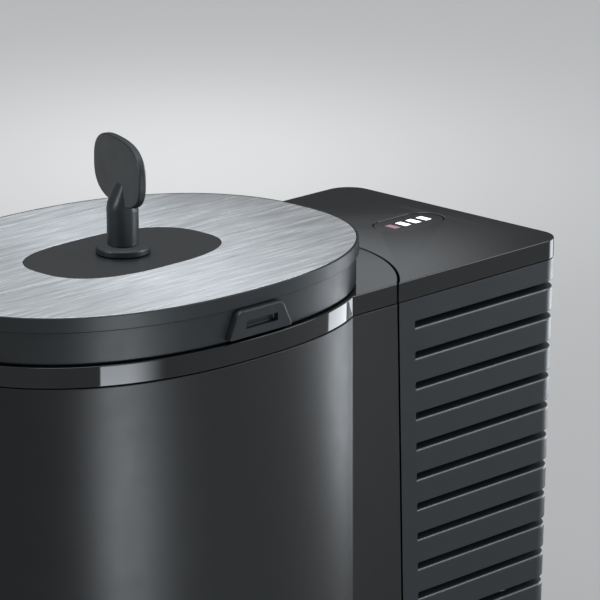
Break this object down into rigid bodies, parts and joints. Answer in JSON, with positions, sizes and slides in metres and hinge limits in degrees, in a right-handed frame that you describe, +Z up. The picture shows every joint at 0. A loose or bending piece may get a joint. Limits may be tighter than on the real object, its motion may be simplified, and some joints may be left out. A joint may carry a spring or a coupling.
{
  "type": "thermoelectric milk cooler",
  "caption": "Bench-top milk cooler: oval steel-topped container in a round-fronted body, with a tube port and stopper in the lid and a louvred cooling block behind.",
  "frame": {"origin": "on the bench, under the middle of the whole machine", "axes": "+Z up, -Y towards the round front with the container, +Y towards the louvred rear, +X across the machine"},
  "size_m": [0.1312, 0.2488, 0.2557],
  "materials": {
    "satin_metal": "satin dark metal coat",
    "gloss_black": "polished",
    "grey_plastic": "fine satin",
    "black_plastic": "matt",
    "brushed_steel": "brushed along Y",
    "steel": "polished steel",
    "aluminium": "bare",
    "silicone": "silicone",
    "rubber": "matt",
    "foam": "rigid foam",
    "ceramic": "ceramic",
    "board_green": "circuit board",
    "bronze": "sintered",
    "copper": "enamelled windings",
    "light_white": "diffuser",
    "light_red": "diffuser"
  },
  "bodies": {
    "housing": {"base_plate": "black_plastic", "base_screw_1": "steel", "base_screw_2": "steel", "base_screw_3": "steel", "base_screw_4": "steel", "cold_block": "aluminium", "control_board": "board_green", "cooling_well": "aluminium", "fan_bearing": "bronze", "fan_frame": "black_plastic", "fan_lead": "rubber", "fan_screw_1": "steel", "fan_screw_2": "steel", "fan_screw_3": "steel", "fan_screw_4": "steel", "fan_stator": "copper", "foot_1": "rubber", "foot_2": "rubber", "foot_3": "rubber", "foot_4": "rubber", "front_housing": "satin_metal", "front_top_frame": "gloss_black", "heat_sink": "aluminium", "indicator_window": "gloss_black", "insulation_foam": "foam", "light_bar_1": "light_red", "light_bar_2": "light_white", "light_bar_3": "light_white", "light_bar_4": "light_white", "peltier_module": "ceramic", "power_inlet": "black_plastic", "power_inlet_pin": "steel", "power_lead": "rubber", "rear_housing": "grey_plastic", "rear_top_cover": "gloss_black", "service_panel": "grey_plastic", "switch_bezel": "black_plastic", "temperature_sensor": "black_plastic"},
    "container": {"milk_container": "steel", "container_collar": "grey_plastic"},
    "lid": {"lid_frame": "grey_plastic", "lid_plate": "brushed_steel", "lid_inlay": "grey_plastic", "lid_liner": "black_plastic", "lid_seal": "silicone", "port_ring": "silicone"},
    "port": {"port_swivel": "grey_plastic", "milk_tube": "silicone"},
    "stopper_body": {"stopper": "grey_plastic", "stopper_ring": "silicone"},
    "fan": {"fan_impeller": "black_plastic", "fan_axle": "steel"},
    "rocker": {"power_rocker": "black_plastic"}
  },
  "joints": [
    {"name": "container_lift", "type": "slide", "parent": "housing", "child": "container", "axis": [0, 0, 1], "range_m": [0, 0.15]},
    {"name": "lid_lift", "type": "slide", "parent": "container", "child": "lid", "axis": [0, 0, 1], "range_m": [0, 0.15]},
    {"name": "port_turn", "type": "hinge", "parent": "lid", "child": "port", "pos_m": [0, -0.0386, 0.2169], "axis": [0, 0, 1], "continuous": true},
    {"name": "stopper_pull", "type": "slide", "parent": "port", "child": "stopper_body", "axis": [0, 0, 1], "range_m": [0, 0.03]},
    {"name": "fan_spin", "type": "hinge", "parent": "housing", "child": "fan", "pos_m": [0, 0.1, 0.115], "axis": [0, 1, 0], "continuous": true},
    {"name": "switch_rock", "type": "hinge", "parent": "housing", "child": "rocker", "pos_m": [-0.011, 0.1186, 0.0285], "axis": [1, 0, 0], "range_deg": [-16, 0]}
  ]
}
